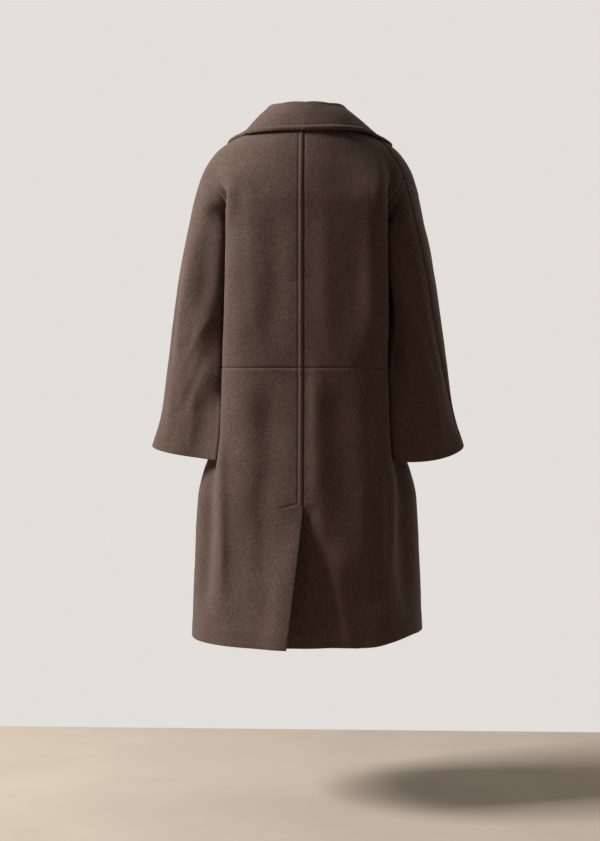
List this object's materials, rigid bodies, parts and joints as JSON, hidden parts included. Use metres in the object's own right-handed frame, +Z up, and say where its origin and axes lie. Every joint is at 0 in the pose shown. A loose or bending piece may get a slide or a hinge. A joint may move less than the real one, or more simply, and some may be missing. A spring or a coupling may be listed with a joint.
{
  "type": "double-breasted coat",
  "caption": "Long double-breasted wool coat as worn: broad collar with notched lapels, drop-shoulder sleeves, waist seam and back vent; a hollow garment that dresses a figure.",
  "frame": {"origin": "middle of the neck base, level with the neck seam at the shoulders, where the wearer's shoulders hold the coat", "axes": "+X to the wearer's left, +Y to the wearer's back, +Z up"},
  "size_m": [0.6888, 0.3948, 1.1628],
  "materials": {
    "wool": "soft felted melange wool, matt",
    "horn": "dark polished horn look"
  },
  "bodies": {
    "root": {"back_upper_left": "wool", "back_upper_right": "wool", "back_lower_left": "wool", "back_lower_right": "wool", "vent_underlap": "wool", "front_upper_left": "wool", "front_upper_right": "wool", "front_lower_left": "wool", "front_lower_right": "wool", "sleeve_back_left": "wool", "sleeve_back_right": "wool", "sleeve_front_left": "wool", "sleeve_front_right": "wool", "collar": "wool", "lapel_left": "wool", "lapel_right": "wool", "button_1_left": "horn", "button_1_right": "horn", "button_2_left": "horn", "button_2_right": "horn", "button_3_left": "horn", "button_3_right": "horn"}
  },
  "joints": []
}
